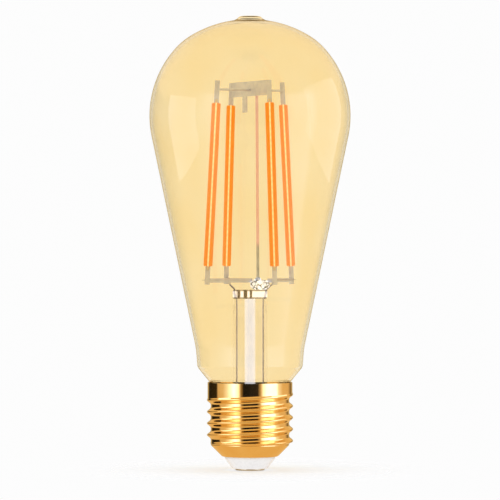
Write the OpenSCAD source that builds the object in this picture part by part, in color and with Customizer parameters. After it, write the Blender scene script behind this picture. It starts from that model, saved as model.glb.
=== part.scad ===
// Teardrop filament lamp with a screw cap. A radio-controlled driver sits inside the cap.
// +Z points from the centre contact to the tip of the glass, and the origin is the middle
// of the centre contact's lower face. All sizes are millimetres.

/* [Glass envelope] */
// Widest outside diameter of the globe
globe_d = 63; // [52:0.5:78]
// Height of the tip of the glass above the centre contact
overall_len = 142.3; // [138:0.1:172]
// Wall of the blown glass
glass_wall = 0.9; // [0.6:0.05:1.2]
// Radius of the shoulder between the globe and the crown
shoulder_r = 22; // [16:0.5:25]
// Angle off the axis where the globe turns into the shoulder
shoulder_angle = 48; // [40:1:56]
// Radius of the shallow crown
crown_r = 36; // [35:0.5:60]
// Height of the sealed tip above the crown
tip_h = 1.05; // [0.6:0.05:1.6]
// Radius of the flat end of the sealed tip
tip_r = 3; // [2:0.1:4]
// How far the heel of the glass stands out past the cap's skirt
heel_overhang = 3.2; // [2:0.1:5]
// Height of the heel above the cap's rim
heel_h = 4.4; // [3:0.1:6]
// Radius that rounds the heel
heel_round = 2.6; // [1.5:0.1:3.2]
// Height above the rim where the long cone starts
cone_foot_h = 10; // [8:0.5:14]
// How much wider the cone's foot is than the heel
cone_foot_step = 0.4; // [0:0.1:1]

/* [Screw cap] */
// Outside diameter of the plain skirt
cap_d = 26.6; // [26:0.1:32]
// How far the root of the thread lies inside the skirt
root_step = 1; // [0.9:0.05:1.6]
// Depth of the rolled thread
thread_depth = 1; // [0.6:0.05:1.1]
// Pitch of the thread, seven turns to the inch
thread_pitch = 3.629; // [3:0.001:4.5]
// Length of the threaded stretch
thread_len = 13.7; // [13.5:0.1:18]
// Height of the rounded shoulder above the thread
cap_shoulder_h = 0.9; // [0.6:0.1:1.5]
// Height of the plain skirt
skirt_h = 4.9; // [4:0.1:7]
// Thickness of the cap's sheet metal
sheet_t = 0.3; // [0.2:0.05:0.4]
// Height of the tapered end below the thread
taper_h = 4.15; // [3.6:0.05:5]
// Outside diameter of the small end of the taper
lip_d = 16.2; // [15:0.1:18]

/* [Insulator and contact] */
// Height of the insulator below the cap's lip
insulator_h = 3.75; // [3:0.05:5]
// Diameter of the insulator's lower face
insulator_foot_d = 11; // [10:0.1:13]
// Diameter of the centre contact
contact_d = 9.2; // [6:0.1:9.6]
// How far the centre contact stands out
contact_t = 0.5; // [0.3:0.05:0.8]
// Diameter of the contact's hollow rivet
rivet_d = 3; // [2:0.1:4]

/* [Stem] */
// Outside diameter of the stem tube
stem_d = 10.8; // [9:0.1:12]
// Wall of the stem tube
stem_wall = 0.8; // [0.5:0.05:1.1]
// Height of the pressed block at the top of the stem
press_h = 2.8; // [2:0.1:4]
// Length over which the round tube is pressed flat
pinch_h = 7; // [5:0.5:9]
// Outside diameter of the exhaust tube
exhaust_d = 3.4; // [2.4:0.1:4.2]
// Wall of the exhaust tube
exhaust_wall = 0.6; // [0.4:0.05:0.8]
// Diameter of the lead-in wires
lead_d = 0.6; // [0.4:0.05:0.7]
// Diameter of the centre support wire
support_d = 0.9; // [0.6:0.05:1.2]

/* [Filaments] */
// Length of each phosphor coating
filament_len = 50.8; // [40:0.1:54]
// Diameter of each phosphor coating
filament_d = 2.8; // [2:0.1:3.6]
// Distance of the filaments from the axis at their tops
cage_top_r = 12.1; // [10:0.1:14]
// Distance of the filaments from the axis at their feet
cage_foot_r = 15; // [13:0.1:16.5]
// Height of the filaments' tops above the middle of the globe
cage_rise = 3.7; // [-2:0.1:6]
// Light-emitting chips on each filament
chip_count = 28; // [16:1:32]
// Width of the ceramic strip
strip_w = 1; // [0.7:0.05:1.3]
// Thickness of the ceramic strip
strip_t = 0.4; // [0.3:0.05:0.6]
// Width of the filament terminals
terminal_w = 1.5; // [1.1:0.05:2]
// Thickness of the filament terminals
terminal_t = 0.3; // [0.2:0.05:0.4]
// Length of the upper terminals
terminal_top_len = 7.1; // [6.5:0.1:9]
// Length of the lower terminals
terminal_foot_len = 5.7; // [5.5:0.1:8]

/* [Supports] */
// Height of the plate across the top of the cage
plate_h = 4.6; // [3:0.1:5]
// Thickness of the plate across the top of the cage
plate_t = 0.4; // [0.3:0.05:0.6]
// Diameter of the bar across the top of the cage
crossbar_d = 0.7; // [0.5:0.05:1]
// Height of the lower arms
arm_h = 1.25; // [0.9:0.05:1.6]
// Thickness of the lower arms
arm_t = 0.5; // [0.4:0.05:0.7]
// Height of the glass bead on the press
bead_h = 4.1; // [3.8:0.1:5]

/* [Driver] */
// Thickness of the driver board
board_t = 1; // [0.8:0.1:1.6]
// Wall of the sleeve that insulates the driver
sleeve_t = 0.25; // [0.15:0.05:0.4]
// Diameter of the electrolytic capacitor
ecap_d = 6.3; // [5:0.1:6.6]
// Height of the electrolytic capacitor
ecap_h = 8.6; // [6:0.1:8.8]
// Diameter of the inductor's drum
drum_d = 5.4; // [4:0.1:6]
// Height of the inductor's drum
drum_h = 5; // [4:0.1:8]
// Width of the radio board
radio_w = 11; // [9:0.1:12]
// Height of the radio board
radio_h = 10.6; // [10:0.1:11]
// Thickness of the radio board
radio_t = 0.8; // [0.6:0.1:1]

/* [Clearances] */
// Gap between glass and the metal or glass that it is fused to
fuse_gap = 0.01; // [0:0.005:0.03]
// Gap at a welded, soldered or clamped joint
weld_gap = 0.04; // [0.02:0.01:0.06]
// Gap round the board and its sleeve inside the cap
sleeve_gap = 0.08; // [0.05:0.01:0.15]
// Gap between the glass neck and the cap, filled with cement
cement_gap = 0.5; // [0.4:0.05:0.8]

/* [Hidden] */

$fn = 64;

// Heights of the cap, from the contact upwards
lip_z = contact_t + insulator_h;
thread_foot_z = lip_z + taper_h;
thread_top_z = thread_foot_z + thread_len;
skirt_foot_z = thread_top_z + cap_shoulder_h;
rim_z = skirt_foot_z + skirt_h;

// Radii of the cap
cap_r = cap_d / 2;
lip_r = lip_d / 2;
root_r = cap_r - root_step;
root_bore_r = root_r - sheet_t;
skirt_bore_r = cap_r - sheet_t;
seam_grow = 0.2;
seam_h = 0.3;
thread_fade = 0.7;
crest_drop = 2;
crest_power = 1.4;

// Neck of the glass inside the cap
neck_foot_r = root_bore_r - cement_gap;
neck_top_r = skirt_bore_r - 0.6;
neck_foot_z = thread_top_z - 1.6;
neck_bore_r = neck_foot_r - glass_wall;

// Three arcs of the globe, each tangent to the next
globe_r = globe_d / 2;
crown_top_z = overall_len - tip_h;
shoulder_off = (globe_r - shoulder_r) * [sin(shoulder_angle), cos(shoulder_angle)];
crown_off = shoulder_off[1] - sqrt(pow(crown_r - shoulder_r, 2) - pow(shoulder_off[0], 2));
crown_angle = asin(shoulder_off[0] / (crown_r - shoulder_r));
globe_z = crown_top_z - crown_r - crown_off;
crown_z = globe_z + crown_off;

// Cone from its foot, tangent to the globe
heel_r = cap_r + heel_overhang;
heel_z = rim_z + heel_h;
foot_r = heel_r + cone_foot_step;
foot_z = rim_z + cone_foot_h;
foot_dist = norm([foot_r, globe_z - foot_z]);
cone_angle = atan2(globe_z - foot_z, foot_r) - acos(globe_r / foot_dist);

// Cage of filaments
cage_lean = asin((cage_foot_r - cage_top_r) / filament_len);
cage_top_z = globe_z + cage_rise;
cage_foot_z = cage_top_z - filament_len * cos(cage_lean);
first_azimuth = 30;
azimuths = [for (k = [0:3]) first_azimuth + 90 * k];
function azimuth(k) = azimuths[k - 1];
// Distance of the filaments' middle line from the axis at a height
function cage_r(z) = cage_foot_r - (z - cage_foot_z) * tan(cage_lean);
// The front pair of filaments faces the front, and the back pair the back
function faces_back(k) = sin(azimuth(k)) > 0 ? 1 : -1;
// End of a bar with half the thickness half_t that meets the inner face of filament k's terminal
function inner_end(k, z, half_t) =
    cage_r(z) * [cos(azimuth(k)), sin(azimuth(k))]
        - [0, faces_back(k) * (strip_t / 2 + terminal_t + 2 * weld_gap + half_t)];

// Heights of the supports
plate_top_z = cage_top_z + terminal_top_len * cos(cage_lean);
plate_foot_z = plate_top_z - plate_h;
crossbar_z = plate_foot_z + 1.9;
arm_foot_z = cage_foot_z - terminal_foot_len + 0.6;
arm_top_z = arm_foot_z + arm_h;
wire_z = arm_foot_z + arm_h * 0.6;

// Stem
stem_r = stem_d / 2;
stem_bore_r = stem_r - stem_wall;
press_top_z = arm_foot_z - 2.3;
press_foot_z = press_top_z - press_h;
pinch_z = press_foot_z - pinch_h;
press_w = stem_d + 0.1;
press_t = exhaust_d + 2 * stem_wall + 0.24;
exhaust_r = exhaust_d / 2;
exhaust_foot_z = rim_z - 3.6;
bell_r = neck_bore_r - fuse_gap - stem_r;
bell_z = neck_foot_z + 0.9 + bell_r;

// Lead-in wires, which leave the press near its ends
lead_x = stem_bore_r - lead_d / 2 - 0.1;
lead_exit_x = press_w / 2 - lead_d / 2 - 0.25;
// Where each of them joins its arm, from the arm's middle point, and how far it runs past the end
lead_join_left = 7.4;
lead_join_right = 1.5;
lead_past = 2.1;

// Middle points of the two pairs of lower arms, inside the bead
bead_left_x = 0;
bead_right_x = 6.2;
hub_left = [bead_left_x + 0.5, 0];
hub_right = [bead_right_x - 0.5, 0];

// Driver
sleeve_r = root_bore_r - seam_grow - sleeve_gap;
board_r = sleeve_r - sleeve_t - sleeve_gap;
collar_top_z = thread_foot_z - 0.8;
board_z = collar_top_z + 2.4;
board_top_z = board_z + board_t;
sleeve_top_z = neck_foot_z - 1.1;
live_wire_d = 0.8;
neutral_wire_d = 0.6;
radio_y = -3.2;
smd_lift = 0.05;

// ---- helpers ----

// Points along an arc from one angle to another
function arc(c, r, a0, a1, n) =
    [for (i = [0:n]) c + r * [cos(a0 + (a1 - a0) * i / n), sin(a0 + (a1 - a0) * i / n)]];

function unit(v) = v / norm(v);

// Points that round the corner q, between the points p and s, with radius r
function rounded(p, q, s, r, n = 5) =
    let (u = unit(p - q), v = unit(s - q), half = acos(u * v) / 2,
        c = q + unit(u + v) * r / sin(half), t0 = q + u * r / tan(half),
        t1 = q + v * r / tan(half), a0 = atan2(t0[1] - c[1], t0[0] - c[0]),
        turn = atan2(t1[1] - c[1], t1[0] - c[0]) - a0,
        sweep = turn > 180 ? turn - 360 : turn < -180 ? turn + 360 : turn)
    arc(c, r, a0, a0 + sweep, n);

// Straight round rod between two points
module rod(a, b, d) {
    v = b - a;
    translate(a) rotate([0, acos(v[2] / norm(v)), atan2(v[1], v[0])])
        cylinder(h = norm(v), d = d, $fn = 32);
}

// Route with each corner eased into a short curve that starts up to reach from it
function eased(points, reach, n = 4) =
    let (last = len(points) - 1)
    concat([points[0]],
        [for (i = [1:last - 1])
            let (q = points[i], p = points[i - 1], s = points[i + 1],
                d = min(reach, 0.4 * norm(p - q), 0.4 * norm(s - q)),
                a = q + d * unit(p - q), b = q + d * unit(s - q))
            for (k = [0:n]) let (t = k / n) (1 - t) * (1 - t) * a + 2 * t * (1 - t) * q + t * t * b],
        [points[last]]);

// Turns the vector u as the direction t0 swings into t1
function swung(u, t0, t1) =
    let (v = cross(t0, t1))
    u + cross(v, u) + cross(v, cross(v, u)) / (1 + t0 * t1);

// One sideways vector for each stretch of a route, carried along without twist
function side_vectors(dirs, u, i = 0) =
    i == len(dirs) - 1 ? [u]
        : concat([u], side_vectors(dirs, swung(u, dirs[i], dirs[i + 1]), i + 1));

// Round wire along a route, mitred at each point
module wire(points, d, reach = 0.8, sides = 12) {
    path = eased(points, reach);
    last = len(path) - 1;
    dirs = [for (i = [0:last - 1]) unit(path[i + 1] - path[i])];
    start = abs(dirs[0][2]) > 0.5 ? [1, 0, 0] : [0, 0, 1];
    sideways = side_vectors(dirs, unit(start - dirs[0] * (start * dirs[0])));
    ring_points = [for (i = [0:last]) for (k = [0:sides - 1])
        let (j = max(0, i - 1), t = dirs[j], u = sideways[j], w = cross(t, u),
            mitre = i == 0 || i == last ? t : unit(t + dirs[i]),
            o = d / 2 * (u * cos(360 * k / sides) + w * sin(360 * k / sides)))
        path[i] + o - t * (o * mitre) / (t * mitre)];
    polyhedron(points = ring_points, faces = tube_faces(sides, last), convexity = 6);
}

// Faces of a closed tube of rings + 1 rings, each of a number of points
function tube_faces(sides, rings) = concat(
    [for (j = [0:rings - 1]) for (i = [0:sides - 1])
        let (p = j * sides + i, q = j * sides + (i + 1) % sides)
        each [[p, p + sides, q], [q, p + sides, q + sides]]],
    [[for (i = [0:sides - 1]) i], [for (i = [sides - 1:-1:0]) rings * sides + i]]);

// Rectangular block that stands on a height, centred on x and y
module block(x, y, z, w, d, h) {
    translate([x - w / 2, y - d / 2, z]) cube([w, d, h]);
}

// ---- glass envelope ----

function crown_at(r) = crown_z + sqrt(crown_r * crown_r - r * r);

// Right-hand side of the outline, from the tip to the neck, which may be run on downwards
function envelope_side(run_on) =
    let (tip_edge = [tip_r, overall_len], tip_foot = [tip_r + 1, crown_at(tip_r + 1) + 0.1],
        crown_start = [tip_r + 3.4, crown_at(tip_r + 3.4)],
        cone_end = [globe_r * cos(cone_angle), globe_z - globe_r * sin(cone_angle)],
        foot = [foot_r, foot_z], heel = [heel_r, heel_z], tuck = [cap_r - 0.25, rim_z + 0.15],
        neck_top = [neck_top_r, rim_z - 1], neck_low = [neck_foot_r, skirt_foot_z - 0.4],
        neck_foot = [neck_foot_r, neck_foot_z - run_on],
        start_angle = acos(crown_start[0] / crown_r))
    concat(
        [[0, overall_len]],
        rounded([0, overall_len], tip_edge, tip_foot, 0.6),
        rounded(tip_edge, tip_foot, crown_start, 1.2),
        arc([0, crown_z], crown_r, start_angle, 90 - crown_angle, 5),
        arc([shoulder_off[0], globe_z + shoulder_off[1]], shoulder_r,
            90 - crown_angle - 3, 90 - shoulder_angle, 5),
        arc([0, globe_z], globe_r, 90 - shoulder_angle - 3, 0, 16),
        arc([0, globe_z], globe_r, -3, -cone_angle, 4),
        rounded(cone_end, foot, heel, 30, 4),
        rounded(foot, heel, tuck, heel_round),
        rounded(heel, tuck, neck_top, 0.5, 3),
        rounded(tuck, neck_top, neck_low, 1.5, 3),
        rounded(neck_top, neck_low, neck_foot, 1.5, 3),
        [neck_foot]);

module envelope_outline(run_on) {
    side = envelope_side(run_on);
    last = len(side) - 1;
    polygon(concat(side, [for (i = [last:-1:1]) [-side[i][0], side[i][1]]]));
}

module glass_envelope() {
    color("#f3cf86", 0.35) rotate_extrude($fn = 96) intersection() {
        translate([0, neck_foot_z]) square([globe_d, overall_len]);
        difference() {
            envelope_outline(0);
            offset(delta = -glass_wall) envelope_outline(5);
        }
    }
}

// ---- stem ----

// Flat-sided oval, the cross-section of the pinch, smaller by inset all round
module pinch_oval(inset) {
    r = press_t / 2 - inset;
    x = press_w / 2 - press_t / 2;
    hull() for (s = [-1, 1]) translate([s * x, 0]) circle(r = r, $fn = 32);
}

// Solid that turns from a circle of radius r into the pinch's oval, longer by over at each end
module pinch_body(r, inset, over) {
    slice = 0.02;
    hull() {
        translate([0, 0, pinch_z - over]) linear_extrude(slice) circle(r = r, $fn = 32);
        translate([0, 0, press_foot_z + over - slice]) linear_extrude(slice) pinch_oval(inset);
    }
}

module stem_flare() {
    lap = 0.2;
    color("#e8dcc0", 0.35) union() {
        rotate_extrude() polygon(concat(
            [[stem_bore_r, pinch_z + lap], [stem_bore_r, bell_z]],
            arc([stem_r + bell_r, bell_z], bell_r + stem_wall, 180, 270, 8),
            [[stem_r + bell_r, bell_z - bell_r]],
            arc([stem_r + bell_r, bell_z], bell_r, 270, 180, 8),
            [[stem_r, pinch_z + lap]]));
        difference() {
            pinch_body(stem_r + 0.05, 0, 0);
            pinch_body(stem_bore_r - 0.04, stem_wall, 0.05);
        }
    }
}

module stem_press() {
    color("#cfc6b4", 0.5) difference() {
        translate([0, 0, press_foot_z + fuse_gap]) linear_extrude(press_h - fuse_gap)
            pinch_oval(0);
        lead_holes();
    }
}

module exhaust_tube() {
    taper = 2.2;
    color("#f6f3ea", 0.7) rotate_extrude() difference() {
        polygon([[0, press_foot_z], [exhaust_r, press_foot_z],
            [exhaust_r, exhaust_foot_z + taper], [exhaust_r * 0.4, exhaust_foot_z],
            [0, exhaust_foot_z]]);
        translate([0, exhaust_foot_z + taper])
            square([exhaust_r - exhaust_wall, press_foot_z]);
    }
}

// Lumps of the bead: distance along x, height above the press, and radius
bead_lumps = [[3.1, 1.3, 2.1], [1.5, 1.7, 1.5], [4.7, 1.6, 1.5], [2.5, bead_h - 1.1, 1.1]];

module stem_bead() {
    color("#f4efe2", 0.6) difference() {
        intersection() {
            for (b = bead_lumps) translate([b[0], 0, press_top_z + b[1]]) sphere(r = b[2]);
            translate([-5, -5, press_top_z + fuse_gap]) cube([20, 10, 10]);
        }
        grown_arms(hub_left, [2, 3], fuse_gap);
        grown_arms(hub_right, [1, 4], fuse_gap);
        rod(support_path()[0], support_path()[1], support_d + 2 * fuse_gap);
        lead_holes();
    }
}

// Centre support, from the bead up to the face of the top plate
function support_path() =
    let (side = plate_t / 2 + support_d / 2 + weld_gap, along = -2.9, a = plate_angle(),
        top = along * [cos(a), sin(a)] + side * [sin(a), -cos(a)])
    [[2.5, 0, press_top_z + bead_h - 1.6], [top[0], top[1], plate_foot_z + 1.4]];

module support_wire() {
    color("#c9b4b0") rod(support_path()[0], support_path()[1], support_d);
}

// ---- supports of the cage ----

function plate_angle() =
    let (end = inner_end(2, plate_top_z, plate_t / 2)) atan2(end[1], end[0]);

module top_plate() {
    tab_x = 3;
    tab_w = 2.4;
    tab_h = 5;
    ends = [for (z = [plate_foot_z, plate_top_z]) norm(inner_end(2, z, plate_t / 2))];
    color("#cfc9bb") rotate([0, 0, plate_angle()]) difference() {
        rotate([90, 0, 0]) translate([0, 0, -plate_t / 2]) linear_extrude(plate_t) {
            polygon([[-ends[0], plate_foot_z], [ends[0], plate_foot_z],
                [ends[1], plate_top_z], [-ends[1], plate_top_z]]);
            translate([tab_x - tab_w / 2, plate_foot_z - tab_h]) square([tab_w, tab_h + 1]);
        }
        translate([0, 1, crossbar_z]) rotate([90, 0, 0])
            cylinder(h = 2, d = crossbar_d + 2 * weld_gap, $fn = 32);
    }
}

module top_crossbar() {
    end = inner_end(1, crossbar_z + crossbar_d / 2, crossbar_d / 2);
    color("#b9a99c") rod([-end[0], -end[1], crossbar_z], [end[0], end[1], crossbar_z],
        crossbar_d);
}

// Where the arm to filament k ends, against the inner face of its terminal
function arm_end(k) = inner_end(k, arm_top_z, arm_t / 2);

// Two flat arms from a middle point to two filaments, grown by grow all round
module grown_arms(hub, filaments, grow) {
    translate([0, 0, arm_foot_z - grow]) linear_extrude(arm_h + 2 * grow)
        for (k = filaments) hull() {
            translate(hub) circle(d = arm_t + 2 * grow, $fn = 24);
            translate(arm_end(k)) circle(d = arm_t + 2 * grow, $fn = 24);
        }
}

module lower_arms_left() {
    color("#c7b8a1") grown_arms(hub_left, [2, 3], 0);
}

module lower_arms_right() {
    color("#c7b8a1") grown_arms(hub_right, [1, 4], 0);
}

// Route of a lead-in wire: up the stem, out of the press, up beside the arm to filament k,
// then along the arm and past its end. side is -1 on the left and 1 on the right
function lead_path(side, hub, k, along, past) =
    let (end = arm_end(k), d = unit(end - hub), n = [d[1], -d[0]],
        beside = n * (arm_t / 2 + lead_d / 2 + weld_gap),
        start = hub + along * d + beside, tail = end + past * d + beside)
    [[side * lead_x, 0, board_top_z + weld_gap],
        [side * lead_x, 0, press_foot_z],
        [side * lead_exit_x, 0, press_top_z + 0.3],
        [start[0], start[1], arm_foot_z - lead_d],
        [start[0], start[1], wire_z],
        [tail[0], tail[1], wire_z]];

function left_lead_path() = lead_path(-1, hub_left, 3, lead_join_left, lead_past);
function right_lead_path() = lead_path(1, hub_right, 1, lead_join_right, lead_past);

module lead_holes() {
    wire(left_lead_path(), lead_d + 2 * fuse_gap);
    wire(right_lead_path(), lead_d + 2 * fuse_gap);
}

module lead_in_wire_left() {
    color("#9b8f84") wire(left_lead_path(), lead_d);
}

module lead_in_wire_right() {
    color("#9b8f84") wire(right_lead_path(), lead_d);
}

// ---- filaments ----

chip_size = [0.5, 1];
chip_t = 0.15;
strip_over = 1.2;

// Puts its children on the middle of filament k, with z along the filament and x the way the
// filament faces
module on_filament(k) {
    rotate([0, 0, azimuth(k)])
        translate([(cage_foot_r + cage_top_r) / 2, 0, (cage_foot_z + cage_top_z) / 2])
        rotate([0, -cage_lean, 0]) rotate([0, 0, 90 * faces_back(k) - azimuth(k)]) children();
}

module strip_body() {
    len = filament_len + 2 * strip_over;
    block(0, 0, -len / 2, strip_t, strip_w, len);
}

module chip_bodies() {
    pitch = filament_len / chip_count;
    for (i = [0:chip_count - 1])
        block(strip_t / 2 + chip_t / 2, 0, (i + 0.5) * pitch - filament_len / 2
            - chip_size[1] / 2, chip_t, chip_size[0], chip_size[1]);
}

module filament_strip(k) {
    color("#efe9da") on_filament(k) strip_body();
}

module filament_chips(k) {
    color("#ffe9c4") on_filament(k) chip_bodies();
}

module filament_phosphor(k) {
    color("#f8952f") on_filament(k) difference() {
        translate([0, 0, -filament_len / 2]) cylinder(h = filament_len, d = filament_d);
        strip_body();
        chip_bodies();
    }
}

module filament_terminals(k) {
    x = -strip_t / 2 - weld_gap - terminal_t / 2;
    gap = weld_gap;
    color("#cbba90") on_filament(k) {
        block(x, 0, filament_len / 2 + gap, terminal_t, terminal_w, terminal_top_len - gap);
        block(x, 0, -filament_len / 2 - terminal_foot_len, terminal_t, terminal_w,
            terminal_foot_len - gap);
    }
}

// ---- screw cap ----

segments = 48;

// Share of the thread's full depth at a height, which dies away at both ends
function fade(z) =
    let (t = min(z - thread_foot_z, thread_top_z - z) / thread_fade,
        u = max(0, min(1, t)))
    u * u * (3 - 2 * u);

// Radius of a right-hand rounded thread over a root radius, at an angle and a height
function thread_r(base, a, z) =
    base + thread_depth * fade(z)
        * pow(0.5 + 0.5 * cos(360 * (z - thread_top_z + crest_drop) / thread_pitch - a), crest_power);

// Closed solid with the thread on its side, between two heights
module threaded_solid(base, z0, z1, rows) {
    rings = [for (j = [0:rows]) z0 + (z1 - z0) * j / rows];
    points = [for (z = rings) for (i = [0:segments - 1])
        let (a = 360 * i / segments, r = thread_r(base, a, z))
        [r * cos(a), r * sin(a), z]];
    polyhedron(points = points, faces = tube_faces(segments, rows), convexity = 8);
}

// Rolled tube that carries the thread, its ends buried in the skirt and the taper
module threaded_tube() {
    lap = seam_h * 0.6;
    turns = thread_len / thread_pitch;
    difference() {
        threaded_solid(root_r, thread_foot_z - lap, thread_top_z + lap, round(8 * turns));
        threaded_solid(root_bore_r, thread_foot_z - 2 * lap, thread_top_z + 2 * lap,
            round(5 * turns));
    }
}

// Inner side of the taper, from its foot by the lip to its top by the thread
taper_foot = [lip_r + 0.55, lip_z + sheet_t + 0.05];
taper_top = [root_bore_r - 0.1, thread_foot_z - seam_h - 0.1];
taper_slope = (taper_top[1] - taper_foot[1]) / (taper_top[0] - taper_foot[0]);

module cap_shell() {
    out_r = root_r + seam_grow;
    in_r = taper_top[0];
    rim_round = 0.12;
    knee = [out_r, thread_foot_z - 0.35];
    mid = [lip_r + 0.65, lip_z + 0.05];
    color("#d9a84a") union() {
        rotate_extrude($fn = 96) {
            // skirt and shoulder
            polygon(concat(
                [[skirt_bore_r, rim_z], [skirt_bore_r, skirt_foot_z + sheet_t],
                    [in_r, thread_top_z + seam_h + 0.1], [in_r, thread_top_z]],
                [[out_r, thread_top_z]],
                rounded([out_r, thread_top_z], [cap_r, skirt_foot_z - 0.35], [cap_r, rim_z], 0.5),
                rounded([cap_r, skirt_foot_z], [cap_r, rim_z], [skirt_bore_r, rim_z], rim_round)));
            // taper down to the lip
            polygon(concat(
                [[in_r, thread_foot_z], taper_top, taper_foot,
                    [lip_r - 0.2, lip_z + sheet_t + 0.05],
                    [lip_r - 0.2, lip_z]],
                rounded([lip_r - 0.2, lip_z], mid, knee, 1, 4),
                rounded(mid, knee, [out_r, thread_foot_z], 0.7, 3),
                [[out_r, thread_foot_z]]));
        }
        threaded_tube();
    }
}

module cap_insulator() {
    neck_r = lip_r - 0.2 - weld_gap;
    foot_r = insulator_foot_d / 2;
    foot_z = contact_t + fuse_gap;
    // the collar follows the inner side of the taper, a gap above it and a gap inside it
    gap_above = 0.13;
    gap_inside = 0.435;
    shelf_r = lip_r + 1;
    shelf_z = taper_foot[1] + (shelf_r - taper_foot[0]) * taper_slope + gap_above;
    edge_z = collar_top_z - 0.4;
    top_r = taper_foot[0] + (edge_z - taper_foot[1]) / taper_slope - gap_inside;
    inner_z = lip_z + sheet_t + 0.2 + weld_gap;
    hole_r = live_wire_d / 2 + 0.1;
    color("#ededeb") rotate_extrude() difference() {
        polygon(concat(
            [[0, foot_z]],
            rounded([0, foot_z], [foot_r, foot_z], [neck_r, lip_z - 0.5], 0.8),
            [[neck_r, lip_z - 0.5], [neck_r, inner_z],
                [shelf_r, shelf_z], [top_r, edge_z], [top_r, collar_top_z],
                [top_r - 3, collar_top_z], [3, inner_z + 1],
                [0, inner_z + 1]]));
        translate([0, 0]) square([hole_r, 20]);
        translate([0, 0]) square([rivet_d / 2 + fuse_gap, foot_z + 1.6]);
    }
}

module centre_contact() {
    edge = 0.15;
    color("#c9c4b6") rotate_extrude() polygon([[0, 0], [contact_d / 2 - edge, 0],
        [contact_d / 2, edge], [contact_d / 2, contact_t], [rivet_d / 2, contact_t],
        [rivet_d / 2, contact_t + 1.5], [live_wire_d / 2 + 0.02, contact_t + 1.5],
        [live_wire_d / 2 + 0.02, 0.3], [0, 0.3]]);
}

module cap_cement() {
    low_z = skirt_foot_z + sheet_t + 0.2;
    top_z = rim_z - 1.1;
    wall = skirt_bore_r - weld_gap;
    color("#d8d2c4") rotate_extrude() polygon([[neck_foot_r + 0.65, low_z], [wall, low_z],
        [wall, top_z], [neck_top_r + weld_gap, top_z], [neck_top_r + weld_gap, top_z - 0.6]]);
}

// ---- driver in the cap ----

module live_wire() {
    color("#c9642f") rod([0, 0, 0.3 + weld_gap], [0, 0, board_z - weld_gap], live_wire_d);
}

module neutral_wire() {
    a = 205;
    r = board_r - 1.2;
    z = sleeve_top_z + 0.55;
    reach = root_bore_r - 0.15;
    dir = [cos(a), sin(a)];
    color("#3f6f9c") wire([[r * dir[0], r * dir[1], board_top_z + weld_gap],
        [r * dir[0], r * dir[1], z], [reach * dir[0], reach * dir[1], z]], neutral_wire_d);
}

module driver_sleeve() {
    foot_z = thread_foot_z + 0.2;
    color("#dcd8cf", 0.6) difference() {
        translate([0, 0, foot_z]) cylinder(h = sleeve_top_z - foot_z, r = sleeve_r);
        translate([0, 0, foot_z - 1]) cylinder(h = thread_len + 2, r = sleeve_r - sleeve_t);
    }
}

module driver_board() {
    pad_hole_d = 0.5;
    color("#2f6b45") difference() {
        translate([0, 0, board_z]) cylinder(h = board_t, r = board_r);
        for (x = [-1, 1], y = [0, 1]) translate([x * 6.2, y * 2 + 5, board_z - 1])
            cylinder(h = board_t + 2, d = pad_hole_d);
    }
}

// Moulded chip package with two rows of flat legs, standing on a height or hanging from it
module chip_package(x, y, z, w, d, h, legs, up) {
    leg_w = 0.4;
    leg_out = 0.8;
    leg_t = 0.2;
    s = up ? 1 : -1;
    block(x, y, up ? z + smd_lift : z - smd_lift - h, w, d, h);
    for (i = [0:legs - 1], side = [-1, 1])
        block(x + (i - (legs - 1) / 2) * w / legs, y + side * (d / 2 + leg_out / 2 - 0.05),
            up ? z + smd_lift : z - smd_lift - leg_t, leg_w, leg_out + 0.1, leg_t);
}

module bridge_rectifier() {
    color("#2b2b2d") chip_package(-4.6, -2.6, board_z, 4.6, 3.6, 1.4, 2, false);
}

module driver_chip() {
    color("#29292b") chip_package(0, -board_r + 3.7, board_top_z, 4.9, 3.4, 1.4, 4, true);
}

// Chip resistors under the board, in a row
module chip_resistors() {
    color("#33333a") for (i = [0:4])
        block(1.6 + i * 1.6, -3.4, board_z - smd_lift - 0.5, 0.9, 1.7, 0.5);
}

// Ceramic capacitors under the board, in a row
module ceramic_capacitors() {
    color("#b08a5c") for (i = [0:2])
        block(-3 + i * 3, 5.2, board_z - smd_lift - 1, 1.6, 3, 1);
}

module fusible_resistor() {
    body_d = 2.4;
    half_len = 3;
    lead_out = 0.8;
    lead_d = 0.5;
    x = -board_r + 3.9;
    y = 3.6;
    z = board_top_z + 0.3 + body_d / 2;
    color("#6fa07c") {
        rod([x, y - half_len, z], [x, y + half_len, z], body_d);
        for (s = [-1, 1]) wire([[x, y + s * (half_len - 0.4), z],
            [x, y + s * (half_len + lead_out), z],
            [x, y + s * (half_len + lead_out), board_top_z + weld_gap]], lead_d);
    }
}

ecap_y = board_r - 0.5 - ecap_d / 2;
jacket_t = 0.1;

module electrolytic_capacitor() {
    groove = 0.25;
    color("#b9bcc0") translate([0, ecap_y, board_top_z + weld_gap]) rotate_extrude() polygon([
        [0, 0], [ecap_d / 2 - jacket_t - 0.05, 0], [ecap_d / 2 - jacket_t - 0.05, 1],
        [ecap_d / 2 - jacket_t - groove, 1.3], [ecap_d / 2 - jacket_t - 0.05, 1.6],
        [ecap_d / 2 - jacket_t - 0.05, ecap_h - 0.3], [ecap_d / 2 - jacket_t - 0.3, ecap_h],
        [0, ecap_h]]);
}

module capacitor_jacket() {
    color("#27324f") translate([0, ecap_y, board_top_z + weld_gap]) difference() {
        cylinder(h = ecap_h - 0.4, d = ecap_d);
        translate([0, 0, -1]) cylinder(h = ecap_h + 2, d = ecap_d - 2 * jacket_t);
    }
}

drum_pos = (board_r - 0.9 - drum_d / 2) * [cos(26), sin(26)];
drum_waist = 0.9;
drum_flange = 0.8;

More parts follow.
